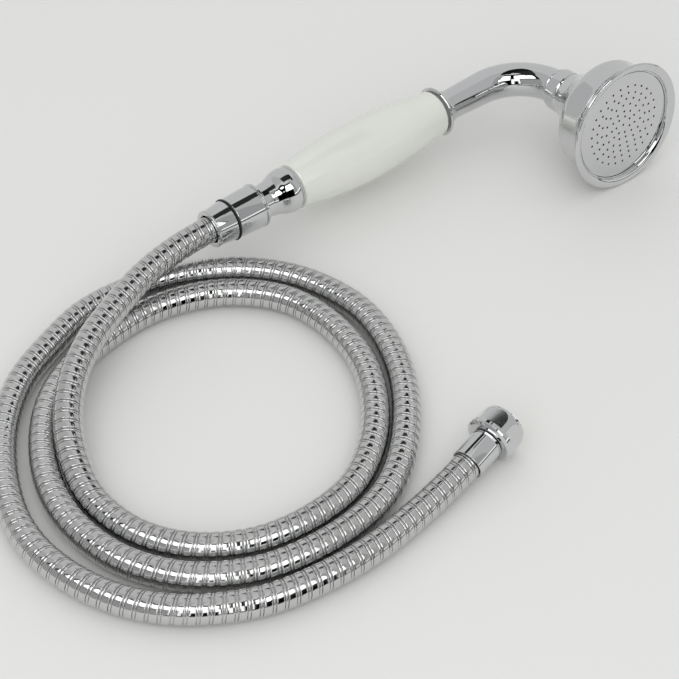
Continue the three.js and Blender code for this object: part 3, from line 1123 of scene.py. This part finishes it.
def make_hex_nut():
    """A crowned barrel, cut to its flats in front of the round band."""
    start, end, _ = TAP.span("hex_nut")
    thread_seat = start + 3.3
    outline = [
        *rounded([(start, TAIL_SEAT_R), (start, 10.9, 0.5), (start + 0.9, BARREL_R - 0.15)]),
        *smooth(
            [
                (start + 1.6, BARREL_R),
                (start + 5, BARREL_R),
                (start + 8.6, BARREL_R - 0.1),
                (start + 11.4, BARREL_R - 0.7),
                (end - 0.8, BARREL_R - 1.3),
            ],
            7,
        ),
        (end - 0.25, BARREL_R - 1.55),
        (end, BARREL_R - 1.9),
        (end, THREAD_MAJOR_R + 0.15),
        (end - 0.5, THREAD_MAJOR_R + 0.02),
        (thread_seat, THREAD_MAJOR_R + 0.02),
        (thread_seat, TAIL_SEAT_R),
    ]
    nut = turned("hex_nut_crowned", TAP, outline, LOOKS["chrome"], FINEST)
    past = 5  # how far the cutter reaches past the nut at both ends
    cutter = hex_prism(start + HEX_BAND, end + past, HEX_FLATS)
    band = hex_prism(start - past, start + HEX_BAND + 0.01, HEX_FLATS * 2)
    join = cutter.modifiers.new("band", "BOOLEAN")
    join.operation = "UNION"
    join.object = band
    cut = nut.modifiers.new("flats", "BOOLEAN")
    cut.operation = "INTERSECT"
    cut.object = cutter
    bm = worked_out(nut)
    for helper in (nut, cutter, band):
        bpy.data.objects.remove(helper)
    piece = mesh_piece("hex_nut_crowned", bm, LOOKS["chrome"], sharp_degrees=9)
    return finished(piece, "hex_nut", "tap_nut")


# The thread's profile over one pitch: (share of the pitch, depth from -1 at its crest to 1 at its root)
THREAD_PROFILE = [
    (0, 1),
    (0.12, 0.85),
    (0.4, -0.85),
    (0.5, -1),
    (0.6, -0.85),
    (0.88, 0.85),
    (1, 1),
]


def make_thread():
    start, end, _ = TAP.span("hex_nut")
    middle_r = (THREAD_MAJOR_R + THREAD_MINOR_R) / 2
    half = (THREAD_MAJOR_R - THREAD_MINOR_R) / 2
    profile = [(share, middle_r + half * depth) for share, depth in THREAD_PROFILE]
    ends = (start + 3.8, end - 0.6)

    def outside(i, j):
        return TAP.point(ends[i], THREAD_MAJOR_R + 0.01, 2 * math.pi * j / THREAD_TURN)

    bm = bmesh.new()
    helical(bm, *ends, THREAD_PITCH, profile, THREAD_TURN, TAP.point)
    grid(bm, 2, THREAD_TURN, outside, wrap_columns=True)
    open_edges = [e for e in bm.edges if e.is_boundary]
    for station in ends:
        near = [e for e in open_edges if abs((TAP.inverse @ e.verts[0].co).x - station) < 0.01]
        bmesh.ops.bridge_loops(bm, edges=near)
    piece = mesh_piece("hex_nut_thread", bm, LOOKS["raw_brass"])
    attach(piece, "tap_nut")
    return piece


# ---- stage ----

FLOOR_SIDE = 8
TABLE_COLOR = (0.76, 0.76, 0.75)
WORLD_COLOR = (1, 1, 0.99)
WORLD_TONE = 0.76

# Distances of the studio's walls, nearest first, in metres
NEAR = 2.4
FRONT = 2.5
BACK = 2.8
BACKDROP = 2.9


def make_floor():
    bpy.ops.mesh.primitive_plane_add(size=FLOOR_SIDE, location=(0, 0, 0))
    floor = bpy.context.object
    floor.name = "floor"
    floor.data.materials.append(principled("table", TABLE_COLOR, 0, 0.6))


def make_world():
    world = bpy.data.worlds.new("studio")
    world.use_nodes = True
    background = world.node_tree.nodes["Background"]
    background.inputs["Color"].default_value = (*WORLD_COLOR, 1)
    background.inputs["Strength"].default_value = WORLD_TONE
    bpy.context.scene.world = world


def lamp(name, place, side, watts):
    """A soft light aimed at the object, left out of its reflections: the boards stand for it there."""
    data = bpy.data.lights.new(name, "AREA")
    data.energy = watts
    data.size = side
    light = bpy.data.objects.new(name, data)
    light.location = place
    light.rotation_euler = (-Vector(place)).to_track_quat("-Z", "Y").to_euler()
    light.visible_glossy = False
    bpy.context.scene.collection.objects.link(light)


def board(name, rows, columns, at, tone):
    """A board of the studio that shows only in reflections: black at tone 0, a softbox above 1."""
    bm = bmesh.new()
    grid(bm, rows, columns, at)
    material = principled(
        name, (0, 0, 0), 0, 1, Specular_IOR_Level=0, Emission_Color=(1, 1, 1, 1), Emission_Strength=tone
    )
    piece = mesh_piece(name, bm, material)
    piece.visible_camera = False
    piece.visible_diffuse = False
    piece.visible_shadow = False


def ceiling_board(name, x_range, y_range, height, tone):
    """A level rectangle above the object, in metres."""
    board(name, 2, 2, lambda i, j: (x_range[i], y_range[j], height), tone)


def wall_board(name, azimuths, elevations, distance, tone):
    """Part of a sphere round the object; azimuths as the camera's, in degrees."""
    rows = 9
    columns = 17

    def at(i, j):
        elevation = math.radians(elevations[0] + (elevations[1] - elevations[0]) * i / (rows - 1))
        azimuth = math.radians(azimuths[0] + (azimuths[1] - azimuths[0]) * j / (columns - 1))
        return (
            distance * math.cos(elevation) * math.sin(azimuth),
            -distance * math.cos(elevation) * math.cos(azimuth),
            distance * math.sin(elevation),
        )

    board(name, rows, columns, at, tone)


def make_stage():
    bpy.context.scene.view_settings.view_transform = "Standard"
    make_floor()
    make_world()
    lamp("key", place=(0.5, 0.7, 1.3), side=1.5, watts=1.5)
    lamp("fill", place=(-0.9, -0.9, 1.1), side=1.6, watts=8.5)
    ceiling_board("dark_overhead_left", (-0.1, 0.05), (0, 0.13), height=0.3, tone=0.03)
    ceiling_board("dark_overhead_right", (0.05, 0.13), (-0.05, 0.14), height=0.3, tone=0.01)
    wall_board("softbox_left", (-112, -36), (40, 62), FRONT, tone=2.5)
    wall_board("softbox_right", (-22, 14), (36, 63), FRONT, tone=2.5)
    wall_board("softbox_low", (-54, -26), (7, 40), FRONT, tone=1.6)
    wall_board("dark_camera", (-48, -35), (3, 25), NEAR, tone=0)
    wall_board("light_strip", (8, 60), (9, 13), FRONT, tone=1.4)
    wall_board("dark_surround_high", (-125, 16), (36, 70), BACK, tone=0)
    wall_board("dark_surround_low", (-56, 8), (1, 36), BACK, tone=0)
    wall_board("grey_surround_low", (-125, -56), (1, 36), BACK, tone=0.4)
    wall_board("grey_wall_low", (8, 33), (13, 36), BACK, tone=0.42)
    wall_board("grey_wall_high", (16, 33), (36, 75), BACK, tone=0.42)
    wall_board("pale_wall", (33, 95), (13, 75), BACK, tone=0.58)
    ceiling_board("nut_shade", (-0.01, 0.07), (-0.03, 0.0175), height=0.45, tone=0.03)
    wall_board("backdrop", (95, 185), (0, 88), BACKDROP, tone=0.68)
    wall_board("backdrop_left", (185, 270), (0, 88), BACKDROP, tone=0.56)
    wall_board("dark_skirting", (8, 95), (1, 6), BACK, tone=0.05)


# ---- the whole ----

make_camera()
line = HoseLine()
hose = make_hose(line)
on_the_hose = [make_liner(line), make_sleeve(), make_ring()]
make_cone_nut()
make_base()
make_ceramic()
make_cushions()
make_flange()
recoat("core_tube", "raw_brass")
recoat("flow_limiter", "grey_plastic")
recoat("inlet_washer", "black_rubber")
make_neck()
make_neck_ring()
make_union_collar()
recoat("union_washer", "black_rubber")
make_shell()
make_rim()
make_gasket()
make_plate()
on_the_hose += [make_ferrule(), make_tap_tail(), make_tap_washer(), make_inlet_tail()]
on_the_hose += [make_hex_nut(), make_thread()]
make_stage()

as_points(line.path(PATH_POINTS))
